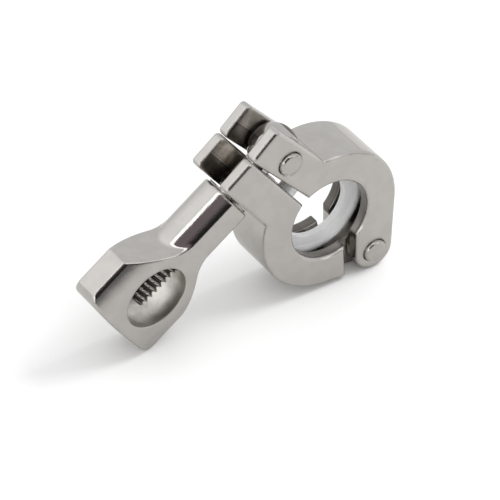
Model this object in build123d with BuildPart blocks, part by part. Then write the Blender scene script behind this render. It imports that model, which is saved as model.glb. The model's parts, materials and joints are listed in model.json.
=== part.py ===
"""Single-pin sanitary hinged clamp for 25 mm ferrules, standing on edge.

All pieces are cast or turned stainless steel, apart from the gasket.  The pipe axis runs along Y and the
origin is the centre of the gasket's bore.  Each jaw is drawn in its own plane: x runs from the hinge
towards the fork tips, and y runs away from the parting face.
"""

from build123d import *
import os
from math import acos, asin, atan2, cos, degrees, hypot, radians, sin, sqrt, tan

os.makedirs("parts", exist_ok=True)

# ---- driving dimensions, millimetres and degrees --------------------------------------------------------

# ring of the two jaws
clamp_t = 13.3  # thickness along the pipe axis
ring_r = 18.0  # outside of the ring
opening_r = 10.5  # lips that close behind the ferrules
groove_r = 13.6  # bottom of the groove that holds the ferrule flanges
groove_mouth_w = 7.9  # width of the groove where it meets the opening
groove_slope = 20.0  # angle of the groove's side walls
parting = 2.2  # from the ring's centre to each parting face

# fork arms
fork_reach = 32.9  # from the ring's centre to the fork tips
fork_h = 10.65  # from the ring's centre to the outer face of the arm
slot_w = 7.5  # slot between the tines
tip_round_r = 1.0  # corners of the fork tips
crotch_r = 0.8  # inside corner between arm and ring
edge_r = 0.8  # cast edges all round
slot_edge_r = 0.6  # edges along the slot

# hinge
hinge_out = 0.8  # hinge pin beyond the ring's outside
hinge_rise = 0.34  # hinge pin above the parting line, on the upper jaw's side
lug_r = 4.8  # rounded end of the hinge lugs
lug_flank = 40.0  # slope of the lug's inner flank
flank_len = 7.7  # from the lug's round to where the flank meets the opening
tongue_w = 5.2  # lower jaw's tongue, between the two lugs
tongue_gap = 0.3  # each side of the tongue
neck_angle = -20.0  # where the tongue's round end runs into its neck
neck_len = 5.8
neck_inside_r = 9.4  # the tongue's root, inside the opening
neck_inside_angle = 150.0
knuckle_gap = 0.5  # between the tongue's round end and the upper jaw
end_face_off = 7.8  # from the hinge pin to the lower jaw's end faces
end_face_slope = 32.6  # slope of those end faces
closed_angle = 4.8  # how far the empty clamp closes past parallel

# pins
pin_r = 2.7
pin_stand_off = 0.7  # how far each pin end stands out of the casting
pin_round = 0.6
pin_seat_gap = 0.01  # pin in the bores that grip it
pin_run_gap = 0.05  # pin in the bores that turn on it
pin_mouth = 0.4  # chamfer at the mouth of each pin bore
pin_from_tip = 10.1  # bolt pin back from the fork tips
bolt_pin_y = 6.35  # and out from the parting line

# swing bolt
bolt_r = 3.1  # over the thread crests
bolt_len = 43.5  # from the pin's centre to the free end
bolt_end_chamfer = 0.7
eye_r = 5.5  # ball-shaped eye
eye_w = 6.3  # across the flats of the eye
eye_gap = 0.5  # between the eye and the root of the slot
bolt_lean = 2.5  # outward lean of the bolt at rest

# washer
washer_r = 5.0
washer_t = 0.4
washer_from_pin = 13.8
washer_hole_gap = 0.2

# wing nut
nut_seat_gap = 0.05
nut_run_gap = 0.05
barrel_r = 5.82
barrel_flat = 5.13  # from the axis to each flat
barrel_round = 0.6
nut_len = 36.3  # from the seat to the crown of the far edge
wing_half_w = 13.1
wing_len = 23.0  # from where the wings leave the flats to the far edge
wing_side = 11.8  # from the wings' full width to the far edge
wing_tip_half_t = 2.85  # half thickness at the wing tips
wing_flat_half_w = 5.5  # the middle of the wings' faces stays flat this far out
wing_root_half_w = 2.6
wing_corner_r = 3.0
wing_end_crown = 0.7
shoulder_r = 1.0
root_blend_r = 2.4
nut_edge_r = 0.8
window_half_w = 6.75
window_half_h = 7.6
window_from_end = 10.7  # from the far edge to the window's centre

# gasket
gasket_r = 12.6
gasket_bore_r = 7.9
gasket_t = 1.6
bead_r = 11.1  # centre line of the bead on both faces
bead_half_w = 1.0
bead_h = 0.8
gasket_sag = 0.85  # how far the loose gasket lies below the ring's centre

# ---- derived places -------------------------------------------------------------------------------------

hinge_reach = ring_r + hinge_out
bolt_pin_x = fork_reach - pin_from_tip


def turned(x, y, angle):
    """Turn a point about the origin, counter-clockwise in its own plane."""
    c, s = cos(radians(angle)), sin(radians(angle))
    return c * x - s * y, s * x + c * y


def upper_in_lower(x, y):
    """Coordinates in the lower jaw's plane of a point given in the upper jaw's plane."""
    dx, dy = turned(x + hinge_reach, hinge_rise - y, closed_angle)
    return dx - hinge_reach, dy - hinge_rise


pin_in_lower = upper_in_lower(bolt_pin_x, bolt_pin_y)


def bolt_in_lower(u, v):
    """Coordinates in the lower jaw's plane of a point across and along the bolt."""
    du, dv = turned(u, v, -bolt_lean)
    return pin_in_lower[0] + du, pin_in_lower[1] + dv


nut_from_pin = washer_from_pin + washer_t + nut_seat_gap
nut_end = nut_from_pin + nut_len

# The clamp rests on its round hinge lugs and on one rounded corner of the wing nut.
corner_centre = bolt_in_lower(wing_corner_r - wing_half_w, nut_end - wing_end_crown - wing_corner_r)
span_x = corner_centre[0] + hinge_reach
span_y = corner_centre[1] + hinge_rise
rest_angle = degrees(atan2(span_y, span_x) + asin((wing_corner_r - lug_r) / hypot(span_x, span_y)))

tips_dir = Vector(-cos(radians(rest_angle)), 0, sin(radians(rest_angle)))
bolt_side_dir = Vector(-sin(radians(rest_angle)), 0, -cos(radians(rest_angle)))
ring_centre = bolt_side_dir * -gasket_sag


def at_lower(point):
    """Place in space of a point of the lower jaw's plane."""
    return ring_centre + tips_dir * point[0] + bolt_side_dir * point[1]


front = Vector(0, -1, 0)
lower_plane = Plane(origin=ring_centre, x_dir=tips_dir, z_dir=front)
upper_centre = at_lower(upper_in_lower(0, 0))
upper_x_dir = at_lower(upper_in_lower(1, 0)) - upper_centre
upper_plane = Plane(origin=upper_centre, x_dir=upper_x_dir, z_dir=-front)
bolt_origin = at_lower(bolt_in_lower(0, 0))
bolt_x_dir = at_lower(bolt_in_lower(1, 0)) - bolt_origin
bolt_plane = Plane(origin=bolt_origin, x_dir=bolt_x_dir, z_dir=front)

half_t = clamp_t / 2
slot_root = bolt_pin_x - eye_r - eye_gap
beyond = 60.0  # longer than any piece, for cutting tools

crotch = (sqrt(ring_r**2 - fork_h**2), fork_h)
crotch_angle = degrees(atan2(fork_h, crotch[0]))
tip_low = (fork_reach, parting)
tip_high = (fork_reach, fork_h)


def moved(point, x, y, angle):
    """A point reached from another by a step given in turned axes."""
    dx, dy = turned(x, y, angle)
    return point[0] + dx, point[1] + dy


def outer_tangent_angle(lug):
    """Direction in which one straight line touches both the ring's outside and the round lug."""
    bearing = degrees(atan2(lug[1], lug[0])) % 360
    return bearing - degrees(acos((ring_r - lug_r) / hypot(*lug)))


def groove_section(plane):
    """Half section of the opening and its tapered groove, radius against the pipe axis."""
    outer_half = groove_mouth_w / 2 - (groove_r - opening_r) * tan(radians(groove_slope))
    points = [
        (0, -clamp_t),
        (opening_r, -clamp_t),
        (opening_r, -groove_mouth_w / 2),
        (groove_r, -outer_half),
        (groove_r, outer_half),
        (opening_r, groove_mouth_w / 2),
        (opening_r, clamp_t),
        (0, clamp_t),
    ]
    with BuildSketch(Plane(origin=plane.origin, x_dir=plane.x_dir, z_dir=plane.y_dir)) as section:
        with BuildLine():
            Polyline(*points, close=True)
        make_face()
    return section.sketch


def face_edges(jaw):
    """Outline edges of the two broad faces."""
    broad = jaw.faces().filter_by(Axis.Y).group_by(Axis.Y)
    return broad[0].edges() + broad[-1].edges()


def fork_slot(plane):
    """Sketch of the slot between the tines, open at the tips."""
    with BuildSketch(plane) as slot:
        with Locations((slot_root + beyond / 2, 0)):
            Rectangle(beyond, beyond)
    return slot.sketch


def tine_edges(jaw, plane):
    """Edges of the tines along the slot, clear of its root."""
    beside_slot = [edge for edge in jaw.edges() if abs(abs((edge @ 0.5).Y) - slot_w / 2) < pin_seat_gap]
    return [edge for edge in beside_slot if plane.to_local_coords(edge @ 0.5).X > slot_root + pin_seat_gap]


def corners(outline, *points):
    """The outline's corners nearest to points of its plane."""
    return [outline.vertices().sort_by_distance(Vector(*point))[0] for point in points]


# ---- upper jaw ------------------------------------------------------------------------------------------

lug_centre = (-hinge_reach, hinge_rise)
upper_tangent = outer_tangent_angle(lug_centre)
flank_angle = lug_flank - 90
flank_start = moved(lug_centre, lug_r, 0, flank_angle)
flank_end = moved(flank_start, flank_len, 0, lug_flank)

with BuildPart() as upper_jaw:
    with BuildSketch(upper_plane) as upper_outline:
        with BuildLine():
            Polyline((0, parting), tip_low, tip_high, crotch)
            CenterArc((0, 0), ring_r, crotch_angle, upper_tangent - crotch_angle)
            Line(turned(ring_r, 0, upper_tangent), moved(lug_centre, lug_r, 0, upper_tangent))
            CenterArc(lug_centre, lug_r, upper_tangent, 360 + flank_angle - upper_tangent)
            Polyline(flank_start, flank_end, (0, parting))
        make_face()
        fillet(corners(upper_outline, tip_low, tip_high), radius=tip_round_r)
        fillet(corners(upper_outline, crotch), radius=crotch_r)
    extrude(amount=half_t, both=True)
    revolve(groove_section(upper_plane), axis=Axis(upper_plane.origin, front), mode=Mode.SUBTRACT)
    fillet(face_edges(upper_jaw), radius=edge_r)
    extrude(fork_slot(upper_plane), amount=slot_w / 2, both=True, mode=Mode.SUBTRACT)
    fillet(tine_edges(upper_jaw, upper_plane), radius=slot_edge_r)
    # room for the lower jaw's tongue between the two hinge lugs
    with BuildSketch(upper_plane):
        with Locations(lug_centre):
            Circle(lug_r + knuckle_gap)
        with Locations((-beyond / 2, parting - beyond / 2)):
            Rectangle(beyond, beyond)
    extrude(amount=tongue_w / 2 + tongue_gap, both=True, mode=Mode.SUBTRACT)
    # bores that grip the two pins
    with BuildSketch(upper_plane):
        with Locations(lug_centre, (bolt_pin_x, bolt_pin_y)):
            Circle(pin_r + pin_seat_gap)
    extrude(amount=half_t, both=True, mode=Mode.SUBTRACT)
    bore_rims = upper_jaw.edges().filter_by(GeomType.CIRCLE).filter_by_position(Axis.Y, -half_t, -half_t)
    bore_rims += upper_jaw.edges().filter_by(GeomType.CIRCLE).filter_by_position(Axis.Y, half_t, half_t)
    chamfer([rim for rim in bore_rims if abs(rim.radius - pin_r) < edge_r], length=pin_mouth)
upper_jaw.part.label = "upper_jaw"
export_step(upper_jaw.part, "parts/upper_jaw.step")

# ---- lower jaw ------------------------------------------------------------------------------------------

hinge_in_lower = (-hinge_reach, -hinge_rise)
lower_tangent = outer_tangent_angle(hinge_in_lower)
ring_touch = turned(ring_r, 0, lower_tangent)
knuckle_touch = moved(hinge_in_lower, lug_r, 0, lower_tangent)
end_middle = moved(hinge_in_lower, end_face_off, 0, 90 - end_face_slope)
neck_start = moved(hinge_in_lower, lug_r, 0, neck_angle)
neck_end = moved(neck_start, neck_len, 0, neck_angle + 90)
neck_inside = turned(neck_inside_r, 0, neck_inside_angle)

with BuildPart() as lower_jaw:
    with BuildSketch(lower_plane) as lower_outline:
        with BuildLine():
            Polyline((0, parting), tip_low, tip_high, crotch)
            CenterArc((0, 0), ring_r, crotch_angle, lower_tangent - crotch_angle)
            Polyline(ring_touch, knuckle_touch, (0, parting))
        make_face()
        # the end faces beside the tongue cut the ring off square to the hinge
        with Locations(Location((*end_middle, 0), (0, 0, -end_face_slope))):
            Rectangle(beyond, beyond, align=(Align.CENTER, Align.MAX), mode=Mode.SUBTRACT)
        fillet(corners(lower_outline, tip_low, tip_high), radius=tip_round_r)
        fillet(corners(lower_outline, crotch), radius=crotch_r)
    extrude(amount=half_t, both=True)
    # tongue with its round knuckle
    with BuildSketch(lower_plane):
        with BuildLine():
            Line(ring_touch, knuckle_touch)
            CenterArc(hinge_in_lower, lug_r, lower_tangent, 360 + neck_angle - lower_tangent)
            Polyline(neck_start, neck_end, neck_inside, ring_touch)
        make_face()
    extrude(amount=tongue_w / 2, both=True)
    revolve(groove_section(lower_plane), axis=Axis(lower_plane.origin, front), mode=Mode.SUBTRACT)
    fillet(face_edges(lower_jaw), radius=edge_r)
    extrude(fork_slot(lower_plane), amount=slot_w / 2, both=True, mode=Mode.SUBTRACT)
    fillet(tine_edges(lower_jaw, lower_plane), radius=slot_edge_r)
    # bore that turns on the hinge pin
    with BuildSketch(lower_plane):
        with Locations(hinge_in_lower):
            Circle(pin_r + pin_run_gap)
    extrude(amount=half_t, both=True, mode=Mode.SUBTRACT)
lower_jaw.part.label = "lower_jaw"
export_step(lower_jaw.part, "parts/lower_jaw.step")

# ---- pins -----------------------------------------------------------------------------------------------

pin_half_len = half_t + pin_stand_off

with BuildPart() as hinge_pin:
    with BuildSketch(upper_plane):
        with Locations(lug_centre):
            Circle(pin_r)
    extrude(amount=pin_half_len, both=True)
    fillet(hinge_pin.edges().filter_by(GeomType.CIRCLE), radius=pin_round)
hinge_pin.part.label = "hinge_pin"
export_step(hinge_pin.part, "parts/hinge_pin.step")

with BuildPart() as bolt_pin:
    with BuildSketch(upper_plane):
        with Locations((bolt_pin_x, bolt_pin_y)):
            Circle(pin_r)
    extrude(amount=pin_half_len, both=True)
    fillet(bolt_pin.edges().filter_by(GeomType.CIRCLE), radius=pin_round)
bolt_pin.part.label = "bolt_pin"
export_step(bolt_pin.part, "parts/bolt_pin.step")

# ---- swing bolt -----------------------------------------------------------------------------------------


def across_bolt(v):
    """Plane square to the bolt, so far from its pin: x runs across the wings, y along the pipe."""
    return Plane(origin=bolt_origin + bolt_plane.y_dir * v, x_dir=bolt_x_dir, z_dir=bolt_plane.y_dir)


with BuildPart(bolt_plane) as swing_bolt:
    Sphere(eye_r)
    Box(beyond, beyond, eye_w, mode=Mode.INTERSECT)
    with BuildSketch(across_bolt(0)):
        Circle(bolt_r)
    extrude(amount=bolt_len)
    free_end = swing_bolt.faces().sort_by_distance(across_bolt(bolt_len).origin)[0]
    chamfer(free_end.edges(), length=bolt_end_chamfer)
    with BuildSketch(bolt_plane):
        Circle(pin_r + pin_run_gap)
    extrude(amount=eye_r, both=True, mode=Mode.SUBTRACT)
swing_bolt.part.label = "swing_bolt"
export_step(swing_bolt.part, "parts/swing_bolt.step")

# ---- washer ---------------------------------------------------------------------------------------------

with BuildPart() as washer:
    with BuildSketch(across_bolt(washer_from_pin)):
        Circle(washer_r)
        Circle(bolt_r + washer_hole_gap, mode=Mode.SUBTRACT)
    extrude(amount=washer_t)
washer.part.label = "washer"
export_step(washer.part, "parts/washer.step")

# ---- wing nut -------------------------------------------------------------------------------------------

root_v = nut_end - wing_len
shoulder_v = nut_end - wing_side
wing_end_v = nut_end - wing_end_crown
window_v = nut_end - window_from_end
wing_fall = barrel_flat - wing_tip_half_t
wing_fall_w = wing_half_w - wing_flat_half_w
wing_face_r = (wing_fall_w**2 + wing_fall**2) / (2 * wing_fall)
wing_face_angle = degrees(asin((wing_fall_w + shoulder_r) / wing_face_r))
right_shoulder = (wing_half_w, shoulder_v)
left_shoulder = (-wing_half_w, shoulder_v)
right_corner = (wing_half_w, wing_end_v)
left_corner = (-wing_half_w, wing_end_v)


def on_wing_outline(edge):
    """True for the edges that bound the two broad faces of the wings."""
    place = bolt_plane.to_local_coords(edge @ 0.5)
    along_flat = edge.geom_type == GeomType.LINE and abs(abs(place.X) - wing_flat_half_w) < wing_end_crown
    return place.Y > root_v - barrel_r / 2 and abs(place.Z) > wing_tip_half_t / 2 and not along_flat


with BuildPart() as wing_nut:
    # wings in plan
    with BuildSketch(bolt_plane) as wings:
        with BuildLine():
            Polyline(left_corner, left_shoulder, (-wing_root_half_w, root_v))
            Line((-wing_root_half_w, root_v), (wing_root_half_w, root_v))
            Polyline((wing_root_half_w, root_v), right_shoulder, right_corner)
            ThreePointArc(right_corner, (0, nut_end), left_corner)
        make_face()
        fillet(corners(wings, right_corner, left_corner), radius=wing_corner_r)
        fillet(corners(wings, right_shoulder, left_shoulder), radius=shoulder_r)
    extrude(amount=barrel_flat, both=True)
    # their faces fall away towards the tips
    with BuildSketch(across_bolt(nut_from_pin)):
        with BuildLine():
            Line((0, barrel_flat), (wing_flat_half_w, barrel_flat))
            fall = CenterArc((wing_flat_half_w, barrel_flat - wing_face_r), wing_face_r, 90, -wing_face_angle)
            Line(fall @ 1, ((fall @ 1).X, 0))
            mirror(about=Plane.XZ)
            mirror(about=Plane.YZ)
        make_face()
    extrude(amount=nut_len, mode=Mode.INTERSECT)
    # barrel with two flats
    with BuildSketch(across_bolt(nut_from_pin)):
        Circle(barrel_r)
        Rectangle(beyond, 2 * barrel_flat, mode=Mode.INTERSECT)
    extrude(amount=root_v + barrel_r - nut_from_pin)
    # the barrel swells smoothly into the wings
    fillet(wing_nut.edges().filter_by(GeomType.ELLIPSE).group_by(SortBy.LENGTH)[-1], radius=root_blend_r)
    fillet(wing_nut.edges().filter_by(on_wing_outline), radius=nut_edge_r)
    # seat, and the tapped bore up to the window
    fillet(wing_nut.faces().sort_by_distance(bolt_origin)[0].edges(), radius=barrel_round)
    with BuildSketch(across_bolt(nut_from_pin)):
        Circle(bolt_r + nut_run_gap)
    extrude(amount=window_v - nut_from_pin, mode=Mode.SUBTRACT)
    # oval window
    with BuildSketch(bolt_plane.offset(-half_t)):
        with Locations((0, window_v)):
            Ellipse(window_half_w, window_half_h)
    extrude(amount=clamp_t, mode=Mode.SUBTRACT)
wing_nut.part.label = "wing_nut"
export_step(wing_nut.part, "parts/wing_nut.step")

# ---- gasket ---------------------------------------------------------------------------------------------

with BuildPart() as gasket:
    with BuildSketch(Plane.XY):
        with BuildLine():
            Line((gasket_bore_r, 0), (gasket_bore_r, gasket_t / 2))
            Line((gasket_bore_r, gasket_t / 2), (bead_r - bead_half_w, gasket_t / 2))
            ThreePointArc(
                (bead_r - bead_half_w, gasket_t / 2),
                (bead_r, gasket_t / 2 + bead_h),
                (bead_r + bead_half_w, gasket_t / 2),
            )
            Line((bead_r + bead_half_w, gasket_t / 2), (gasket_r, gasket_t / 2))
            Line((gasket_r, gasket_t / 2), (gasket_r, 0))
            mirror(about=Plane.XZ)
        make_face()
    revolve(axis=Axis.Y)
gasket.part.label = "gasket"
export_step(gasket.part, "parts/gasket.step")
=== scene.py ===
"""Looks of the sanitary hinged clamp: materials, the bolt's thread, floor, world, lamp and camera."""

import json
import math

import bmesh
import bpy
from mathutils import Matrix, Vector


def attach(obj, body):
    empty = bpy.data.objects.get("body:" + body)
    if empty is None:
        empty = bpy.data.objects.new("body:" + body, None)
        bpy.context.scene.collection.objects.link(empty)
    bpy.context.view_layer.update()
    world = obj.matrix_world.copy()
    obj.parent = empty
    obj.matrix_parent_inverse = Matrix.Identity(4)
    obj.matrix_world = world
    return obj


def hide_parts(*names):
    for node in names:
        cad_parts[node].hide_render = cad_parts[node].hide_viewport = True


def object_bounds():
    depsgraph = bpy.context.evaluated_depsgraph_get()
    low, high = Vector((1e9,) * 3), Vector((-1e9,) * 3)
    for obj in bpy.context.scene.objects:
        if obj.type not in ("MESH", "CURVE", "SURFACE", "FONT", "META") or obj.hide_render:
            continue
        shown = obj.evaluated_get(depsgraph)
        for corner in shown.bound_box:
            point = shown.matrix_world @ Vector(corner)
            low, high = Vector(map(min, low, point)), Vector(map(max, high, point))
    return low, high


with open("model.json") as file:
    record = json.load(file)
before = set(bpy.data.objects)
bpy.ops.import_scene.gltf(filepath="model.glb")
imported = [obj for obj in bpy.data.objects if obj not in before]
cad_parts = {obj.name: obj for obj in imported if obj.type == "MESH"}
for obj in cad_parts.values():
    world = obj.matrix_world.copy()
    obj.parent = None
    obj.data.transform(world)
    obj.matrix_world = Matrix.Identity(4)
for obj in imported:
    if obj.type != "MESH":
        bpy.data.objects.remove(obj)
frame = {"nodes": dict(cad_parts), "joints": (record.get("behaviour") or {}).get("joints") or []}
cad_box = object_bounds()
joints = {joint["name"]: joint for joint in frame["joints"]}
MM = 0.001

# ---- camera ---------------------------------------------------------------------------------------------

camera_place = Vector((-0.40696, -0.52645, 0.53477))
camera_aim = Vector((0.45996, 0.61970, -0.63635))
camera_roll = math.radians(3.05)

camera_data = bpy.data.cameras.new("camera")
camera_data.lens = 284.72
camera_data.sensor_width = 36.0
camera_data.clip_end = 50.0
camera = bpy.data.objects.new("camera", camera_data)
turn = camera_aim.to_track_quat("-Z", "Y").to_matrix() @ Matrix.Rotation(camera_roll, 3, "Z")
camera.matrix_world = Matrix.Translation(camera_place) @ turn.to_4x4()
bpy.context.scene.collection.objects.link(camera)
bpy.context.scene.camera = camera


# ---- helpers --------------------------------------------------------------------------------------------


class Nodes:
    """A node tree, with short calls for adding and joining nodes."""

    def __init__(self, tree):
        self.tree = tree

    def add(self, kind, **settings):
        node = self.tree.nodes.new(kind)
        for name, value in settings.items():
            setattr(node, name, value)
        return node

    def join(self, out_socket, in_socket):
        self.tree.links.new(out_socket, in_socket)

    def fill(self, in_sockets, values):
        """Give inputs their values: numbers and colours are set, sockets are joined."""
        for in_socket, value in zip(in_sockets, values):
            if isinstance(value, (int, float)):
                in_socket.default_value = value
            elif isinstance(value, tuple):
                in_socket.default_value = (*value, 1)
            else:
                self.join(value, in_socket)

    def ramp(self, factor, stops):
        """Colour ramp; each stop is a place and a grey value or a colour."""
        node = self.add("ShaderNodeValToRGB")
        node.color_ramp.interpolation = "EASE"
        elements = node.color_ramp.elements
        while len(elements) < len(stops):
            elements.new(0.5)
        for element, (place, value) in zip(elements, stops):
            element.position = place
            element.color = (value, value, value, 1) if isinstance(value, float) else (*value, 1)
        self.join(factor, node.inputs["Fac"])
        return node.outputs["Color"]

    def noise(self, where, scale, detail=2.0):
        node = self.add("ShaderNodeTexNoise")
        node.inputs["Scale"].default_value = scale
        node.inputs["Detail"].default_value = detail
        self.join(where, node.inputs["Vector"])
        return node.outputs["Fac"]

    def bump(self, height, strength, distance, normal=None):
        node = self.add("ShaderNodeBump")
        node.inputs["Strength"].default_value = strength
        node.inputs["Distance"].default_value = distance
        self.join(height, node.inputs["Height"])
        if normal is not None:
            self.join(normal, node.inputs["Normal"])
        return node.outputs["Normal"]

    def axes(self, vector):
        """X, Y and Z of a vector."""
        node = self.add("ShaderNodeSeparateXYZ")
        self.join(vector, node.inputs["Vector"])
        return node.outputs

    def vectors(self, operation, vector, constant=None, result="Vector"):
        """Vector maths on a socket and a constant vector."""
        node = self.add("ShaderNodeVectorMath", operation=operation)
        self.join(vector, node.inputs[0])
        if constant is not None:
            node.inputs[1].default_value = constant
        return node.outputs[result]

    def maths(self, operation, *values):
        node = self.add("ShaderNodeMath", operation=operation)
        self.fill(node.inputs, values)
        return node.outputs["Value"]

    def blend(self, factor, a, b, way="MIX"):
        """Mix of two colours, whose sockets a Mix node has only by number."""
        node = self.add("ShaderNodeMix", data_type="RGBA", blend_type=way)
        self.fill((node.inputs[0], node.inputs[6], node.inputs[7]), (factor, a, b))
        return node.outputs[2]

    def product(self, a, b):
        """Product of two colours."""
        return self.blend(1.0, a, b, "MULTIPLY")

    def mix(self, factor, a, b):
        """Mix of two grey values, sockets or numbers."""
        node = self.add("ShaderNodeMix", data_type="FLOAT")
        self.fill((node.inputs["Factor"], node.inputs["A"], node.inputs["B"]), (factor, a, b))
        return node.outputs["Result"]

    # each measure below is 1 where its distance equals the span, in mm, so that a ramp can take it

    def along(self, where, origin, direction, span):
        """Distance from an origin along a direction, both as in the frame."""
        step = self.vectors("SUBTRACT", where, origin)
        distance = self.vectors("DOT_PRODUCT", step, direction, "Value")
        return self.maths("MULTIPLY", distance, 1.0 / (span * MM))

    def off_axis(self, where, origin, direction, span):
        """Distance from an axis through an origin."""
        step = self.vectors("SUBTRACT", where, origin)
        distance = self.vectors("LENGTH", self.vectors("CROSS_PRODUCT", step, direction), result="Value")
        return self.maths("MULTIPLY", distance, 1.0 / (span * MM))

    def off_middle(self, where, span):
        """Distance from the clamp's middle plane, to either side."""
        return self.maths("MULTIPLY", self.maths("ABSOLUTE", self.axes(where)["Y"]), 1.0 / (span * MM))


def new_material(name):
    material = bpy.data.materials.new(name)
    material.use_nodes = True
    nodes = Nodes(material.node_tree)
    return material, nodes, material.node_tree.nodes["Principled BSDF"]


def dress(obj, material):
    obj.data.materials.clear()
    obj.data.materials.append(material)


# ---- materials ------------------------------------------------------------------------------------------

pin_place = Vector(joints["bolt_swing"]["pos_m"])
bolt_dir = Vector(joints["nut_travel"]["axis"])
across = (0, 1, 0)

window_from_pin = 39.85
window_place = pin_place + bolt_dir * (window_from_pin * MM)

cloud_scale = 260.0
speck_scale = 2600.0
wave_scale = 420.0
cloud_rough = 0.04
recess_rough = 0.32
grain_depth = 0.03 * MM
wave_depth = 0.06 * MM
wave_strength = 0.5


def steel(name, colour, face_rough, edge_rough, grain, edge_round, recess=None, sloping=None):
    """Polished steel: broad faces are satin, everything else is brighter.

    A recess, if given, adds to the node tree the mask and the painted shade colour of its rougher inside.
    A sloping mask says where a broad face keeps its satin although it falls away.
    """
    material, nodes, shader = new_material(name)
    place = nodes.add("ShaderNodeTexCoord")
    where = place.outputs["Object"]
    flatness = nodes.maths("ABSOLUTE", nodes.axes(place.outputs["Normal"])["Y"])
    on_face = nodes.ramp(flatness, ((0.93, 0.0), (0.995, 1.0)))
    if sloping:
        gentle = nodes.ramp(flatness, ((0.86, 0.0), (0.885, 1.0)))
        gentle = nodes.maths("MULTIPLY", gentle, sloping(nodes, where))
        on_face = nodes.maths("MAXIMUM", on_face, gentle)
    clouds = nodes.noise(where, cloud_scale, 3.0)
    tint = nodes.product(colour, nodes.ramp(clouds, ((0.35, 0.94), (0.65, 1.0))))
    rough = nodes.mix(on_face, edge_rough, face_rough)
    # a recess paints shade into the colour and makes the surface rougher
    if recess:
        inside, painted_shade_colour = recess(nodes, where, flatness)
        tint = nodes.blend(inside, tint, painted_shade_colour)
        rough = nodes.mix(inside, rough, recess_rough)
    nodes.join(tint, shader.inputs["Base Color"])
    shader.inputs["Metallic"].default_value = 1.0
    nodes.join(nodes.maths("MULTIPLY_ADD", clouds, cloud_rough, rough), shader.inputs["Roughness"])
    rounded = nodes.add("ShaderNodeBevel", samples=6)
    rounded.inputs["Radius"].default_value = edge_round
    # hand polishing leaves the surface slightly wavy
    waves = nodes.noise(where, wave_scale, 1.0)
    wavy = nodes.bump(waves, wave_strength, wave_depth, rounded.outputs["Normal"])
    grainy = nodes.bump(nodes.noise(where, speck_scale), grain, grain_depth, wavy)
    nodes.join(grainy, shader.inputs["Normal"])
    return material


def fork_recess(centre, tips, gain):
    """Painted shade on the rougher inside of a fork's slot and of the groove, with a mould seam halfway up
    the tines.

    The centre is a point of the jaw, tips is the direction in which its tines run, and the gain
    brightens the slot's painted shade.
    """
    outward = (tips[2], 0, -tips[0])
    shades_from = 0.14

    def recess(nodes, where, flatness):
        between = nodes.ramp(nodes.off_middle(where, 10), ((0.383, 1.0), (0.398, 0.0)))
        facing = nodes.ramp(flatness, ((0.70, 0.0), (0.92, 1.0)))
        radius = nodes.off_axis(where, (0, 0, 0), across, 20)
        in_ring = nodes.ramp(radius, ((0.72, 1.0), (0.74, 0.0)))
        inside = nodes.maths("MULTIPLY", between, nodes.maths("MAXIMUM", facing, in_ring))
        lip = nodes.maths("MULTIPLY", nodes.ramp(radius, ((0.575, 1.0), (0.59, 0.0))), 0.85)
        lip = nodes.maths("MULTIPLY", lip, nodes.ramp(flatness, ((0.20, 1.0), (0.60, 0.0))))
        # painted shade, darker near the start of the height ramp and lighter outward; the mould seam is a
        # bright line with a dark edge
        height = nodes.maths("ADD", nodes.along(where, centre, outward, 10), -shades_from)
        shades = (
            (0.08, (0.14, 0.125, 0.11)),
            (0.45, (0.22, 0.20, 0.18)),
            (0.485, (0.16, 0.145, 0.13)),
            (0.50, (0.66, 0.62, 0.56)),
            (0.515, (0.36, 0.33, 0.29)),
            (0.56, (0.50, 0.465, 0.42)),
            (0.92, (0.60, 0.56, 0.51)),
        )
        shade = nodes.ramp(height, shades)
        # painted shade: darker deeper in the slot, away from the tips, scaled by the gain
        reach = nodes.ramp(nodes.along(where, centre, tips, 40), ((0.50, 0.5 * gain), (0.78, gain)))
        patches = nodes.ramp(nodes.noise(where, 420.0, 3.0), ((0.35, 0.65), (0.65, 1.0)))
        shade = nodes.product(nodes.product(shade, reach), patches)
        # painted shade on the lip, darker on the far side
        backward = nodes.maths("MULTIPLY_ADD", nodes.axes(where)["Y"], 0.1 / MM, 0.5)
        lip_shade = nodes.ramp(backward, ((0.45, (0.27, 0.255, 0.235)), (0.60, (0.07, 0.062, 0.052))))
        return nodes.maths("MAXIMUM", inside, lip), nodes.blend(lip, shade, lip_shade)

    return recess


def window_recess(nodes, where, flatness):
    """Painted shade on the rougher wall of the wing nut's window, darkest where it meets the faces."""
    inside = nodes.ramp(nodes.off_axis(where, window_place, across, 10), ((0.755, 1.0), (0.765, 0.0)))
    wall = nodes.ramp(flatness, ((0.10, 1.0), (0.30, 0.0)))
    shade = nodes.ramp(nodes.off_middle(where, 5), ((0.30, (0.76, 0.74, 0.70)), (0.85, (0.36, 0.34, 0.31))))
    patches = nodes.ramp(nodes.noise(where, 300.0, 3.0), ((0.35, 0.75), (0.65, 1.0)))
    return nodes.maths("MULTIPLY", inside, wall), nodes.product(shade, patches)


def thread_recess(nodes, where, flatness):
    """Painted shade in the roots of the thread, which are also rougher."""
    radius = nodes.off_axis(where, pin_place, bolt_dir, 10)
    return nodes.ramp(radius, ((0.250, 1.0), (0.285, 0.0))), (0.12, 0.11, 0.098)


def on_wings(nodes, where):
    """The wings of the nut, without its barrel."""
    return nodes.ramp(nodes.along(where, pin_place, bolt_dir, 50), ((0.58, 0.0), (0.62, 1.0)))


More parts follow.
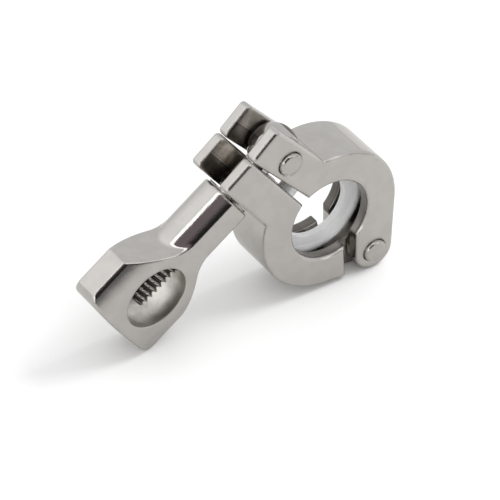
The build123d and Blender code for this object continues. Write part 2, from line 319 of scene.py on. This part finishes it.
def gasket_material():
    """Smooth, slightly translucent white moulding."""
    material, nodes, shader = new_material("gasket_white")
    where = nodes.add("ShaderNodeTexCoord").outputs["Object"]
    clouds = nodes.noise(where, 400.0, 3.0)
    colour = nodes.ramp(clouds, ((0.3, (0.92, 0.93, 0.97)), (0.7, (0.96, 0.97, 1.0))))
    nodes.join(colour, shader.inputs["Base Color"])
    shader.inputs["Roughness"].default_value = 0.38
    shader.inputs["Subsurface Weight"].default_value = 0.9
    shader.inputs["Subsurface Radius"].default_value = (1.0, 1.0, 1.0)
    shader.inputs["Subsurface Scale"].default_value = 3.0 * MM
    dimples = nodes.bump(nodes.noise(where, 1800.0), strength=0.15, distance=0.02 * MM)
    nodes.join(dimples, shader.inputs["Normal"])
    return material


cast_colour = (0.60, 0.582, 0.557)
jaw_finish = dict(colour=cast_colour, face_rough=0.32, edge_rough=0.035, grain=0.25, edge_round=1.0 * MM)
nut_finish = dict(colour=cast_colour, face_rough=0.28, edge_rough=0.04, grain=0.40, edge_round=0.55 * MM)
turned_finish = dict(face_rough=0.28, edge_rough=0.04, grain=0.10, edge_round=0.6 * MM)
bolt_finish = dict(face_rough=0.18, edge_rough=0.08, grain=0.10, edge_round=0.02 * MM)

# each gain brightens that slot's painted shade; the lower slot's is lighter
upper_recess = fork_recess(centre=(-0.000502, 0, -0.000528), tips=(-0.6921, 0, 0.7218), gain=1.0)
lower_recess = fork_recess(centre=(-0.0092832, 0, -0.0075202), tips=(-0.6293, 0, 0.7772), gain=1.65)

turned = steel("turned_steel", (0.56, 0.545, 0.52), **turned_finish)
looks = {
    "upper_jaw": steel("cast_steel_upper", **jaw_finish, recess=upper_recess),
    "lower_jaw": steel("cast_steel_lower", **jaw_finish, recess=lower_recess),
    "wing_nut": steel("cast_steel_nut", **nut_finish, recess=window_recess, sloping=on_wings),
    "hinge_pin": turned,
    "bolt_pin": turned,
    "washer": turned,
    "gasket": gasket_material(),
}
for piece, material in looks.items():
    dress(frame["nodes"][piece], material)

# ---- swing bolt with its thread -------------------------------------------------------------------------

# lengths in mm
bolt_r = 3.1
bolt_len = 43.5
shank_from = 4.0
end_chamfer = 0.7
eye_r = 5.5
eye_half_w = 3.15
eye_bore_r = 2.75
eye_rim = 0.15
thread_from = 9.5
pitch = 1.41
thread_depth = 0.78

flank_gain = 1.25
crest_flat = 0.12

# steps of the mesh
shank_around = 56
steps_per_pitch = 14
eye_around = 96
ball_steps = 24

pin_dir = Vector(joints["bolt_swing"]["axis"])
bolt_turn = Matrix((pin_dir.cross(bolt_dir), pin_dir, bolt_dir)).transposed()


def thread_radius(height, angle):
    """Radius of a right-hand V thread that runs in from a plain neck and ends in a chamfer."""
    phase = (height / pitch - angle / math.tau) % 1.0
    crest = abs(2.0 * phase - 1.0)
    cut = min(max((1.0 - crest) * flank_gain - crest_flat, 0.0), 1.0)
    run_in = min(max((height - thread_from) / pitch, 0.0), 1.0)
    chamfered = bolt_r - max(0.0, height - (bolt_len - end_chamfer))
    return min(bolt_r - thread_depth * cut * run_in, chamfered)


def ring_of(mesh, radii, height):
    count = len(radii)
    return [
        mesh.verts.new((r * math.cos(math.tau * i / count), r * math.sin(math.tau * i / count), height))
        for i, r in enumerate(radii)
    ]


def bridge(mesh, low, high):
    count = len(low)
    for i in range(count):
        mesh.faces.new((low[i], low[(i + 1) % count], high[(i + 1) % count], high[i]))


def build_shank(mesh):
    """Shank, from inside the eye to the free end."""
    shank_len = bolt_len - shank_from
    steps = int(shank_len / pitch * steps_per_pitch)
    heights = [shank_from + shank_len * i / steps for i in range(steps + 1)]
    angles = [math.tau * i / shank_around for i in range(shank_around)]
    rows = [ring_of(mesh, [thread_radius(height, angle) for angle in angles], height) for height in heights]
    for low, high in zip(rows, rows[1:]):
        bridge(mesh, low, high)
    mesh.faces.new(rows[-1])
    mesh.faces.new(rows[0][::-1])


def build_eye(mesh):
    """Eye: a ball with two flats and a bore, about the pin."""
    flat_r = math.sqrt(eye_r**2 - eye_half_w**2) - eye_rim
    rim_angle = math.asin(eye_half_w / eye_r)
    section = [(eye_bore_r, -eye_half_w), (flat_r, -eye_half_w)]
    for i in range(ball_steps + 1):
        angle = -rim_angle + 2 * rim_angle * i / ball_steps
        section.append((eye_r * math.cos(angle), eye_r * math.sin(angle)))
    section += [(flat_r, eye_half_w), (eye_bore_r, eye_half_w)]
    first = len(mesh.verts)
    rows = [ring_of(mesh, [r] * eye_around, height) for r, height in section]
    for low, high in zip(rows, rows[1:] + rows[:1]):
        bridge(mesh, low, high)
    mesh.verts.ensure_lookup_table()
    lie_down = Matrix.Rotation(math.radians(90), 3, "X")
    for vert in mesh.verts[first:]:
        vert.co = lie_down @ vert.co


def build_bolt():
    mesh = bmesh.new()
    build_shank(mesh)
    build_eye(mesh)
    for vert in mesh.verts:
        vert.co = pin_place + bolt_turn @ (vert.co * MM)
    bmesh.ops.recalc_face_normals(mesh, faces=mesh.faces)
    data = bpy.data.meshes.new("threaded_bolt")
    mesh.to_mesh(data)
    mesh.free()
    data.shade_smooth()
    data.set_sharp_from_angle(angle=math.radians(40))
    bolt = bpy.data.objects.new("threaded_bolt", data)
    bpy.context.scene.collection.objects.link(bolt)
    return bolt


bolt = build_bolt()
dress(bolt, steel("bolt_steel", (0.58, 0.57, 0.555), **bolt_finish, recess=thread_recess))
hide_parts("swing_bolt")
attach(bolt, "swing_bolt")

# ---- floor, world and lamp ------------------------------------------------------------------------------


def floor_plane():
    """Floor under the clamp, which reaches so far back that its edge stays out of sight."""
    low = cad_box[0][2]
    far, front = 6.0, -0.20
    corners = [(-far, front, low), (far, front, low), (far, far, low), (-far, far, low)]
    data = bpy.data.meshes.new("floor")
    data.from_pydata(corners, [], [(0, 1, 2, 3)])
    obj = bpy.data.objects.new("floor", data)
    bpy.context.scene.collection.objects.link(obj)
    material, nodes, shader = new_material("floor_white")
    # white to the camera, greyer to everything else
    ray = nodes.add("ShaderNodeLightPath")
    seen = nodes.blend(ray.outputs["Is Camera Ray"], (0.62, 0.615, 0.605), (0.92, 0.92, 0.92))
    nodes.join(seen, shader.inputs["Base Color"])
    shader.inputs["Roughness"].default_value = 0.7
    dress(obj, material)


def studio_world():
    """White tent, dim where it is open to the front; polished edges show the opening as dark lines."""
    world = bpy.data.worlds.new("studio")
    world.use_nodes = True
    bpy.context.scene.world = world
    nodes = Nodes(world.node_tree)
    shader = world.node_tree.nodes["Background"]
    direction = nodes.add("ShaderNodeTexCoord").outputs["Generated"]
    # nearness to the closest of the opening's three middles
    nearest = -1.0
    for middle in ((0.05, -0.995, 0.08), (-0.307, -0.865, 0.40), (-0.465, -0.595, 0.655)):
        nearness = nodes.vectors("DOT_PRODUCT", direction, middle, "Value")
        nearest = nodes.maths("MAXIMUM", nearness, nearest)
    axes = nodes.axes(direction)
    # the tent's cloth brightens around the opening and towards the left
    cloth = nodes.ramp(nearest, ((0.70, 0.78), (0.75, 0.62), (0.79, 1.0), (0.83, 1.8), (0.88, 1.6)))
    rightward = nodes.maths("MULTIPLY_ADD", axes["X"], 0.5, 0.5)
    cloth = nodes.product(cloth, nodes.ramp(rightward, ((0.22, 1.40), (0.58, 0.98))))
    room = nodes.ramp(axes["Z"], ((0.30, (0.02, 0.02, 0.02)), (0.60, (0.20, 0.17, 0.18))))
    tent = nodes.blend(nodes.ramp(nearest, ((0.885, 0.0), (0.915, 1.0))), cloth, room)
    above_floor = nodes.ramp(nodes.maths("ADD", axes["Z"], 0.5), ((0.46, 0.02), (0.50, 1.0)))
    tent = nodes.product(tent, above_floor)
    # only reflections show the tent; the camera sees white, and the rest of the light is plain white
    ray = nodes.add("ShaderNodeLightPath")
    plain = nodes.blend(ray.outputs["Is Camera Ray"], (0.98, 0.98, 0.98), (1.0, 1.0, 1.0))
    nodes.join(nodes.blend(ray.outputs["Is Glossy Ray"], plain, tent), shader.inputs["Color"])
    shader.inputs["Strength"].default_value = 1.0


def soft_box(name, place, aim, size, power):
    """Rectangular lamp, whose outline the steel doesn't show."""
    data = bpy.data.lights.new(name, "AREA")
    data.shape = "RECTANGLE"
    data.size, data.size_y = size
    data.energy = power
    lamp = bpy.data.objects.new(name, data)
    lamp.location = place
    lamp.visible_glossy = False
    lamp.rotation_euler = (Vector(aim) - Vector(place)).to_track_quat("-Z", "Y").to_euler()
    bpy.context.scene.collection.objects.link(lamp)


floor_plane()
studio_world()
soft_box("key", place=(0.48, -0.10, 0.62), aim=(0, 0, 0), size=(0.4, 0.4), power=3.0)

view = bpy.context.scene.view_settings
view.view_transform = "Standard"
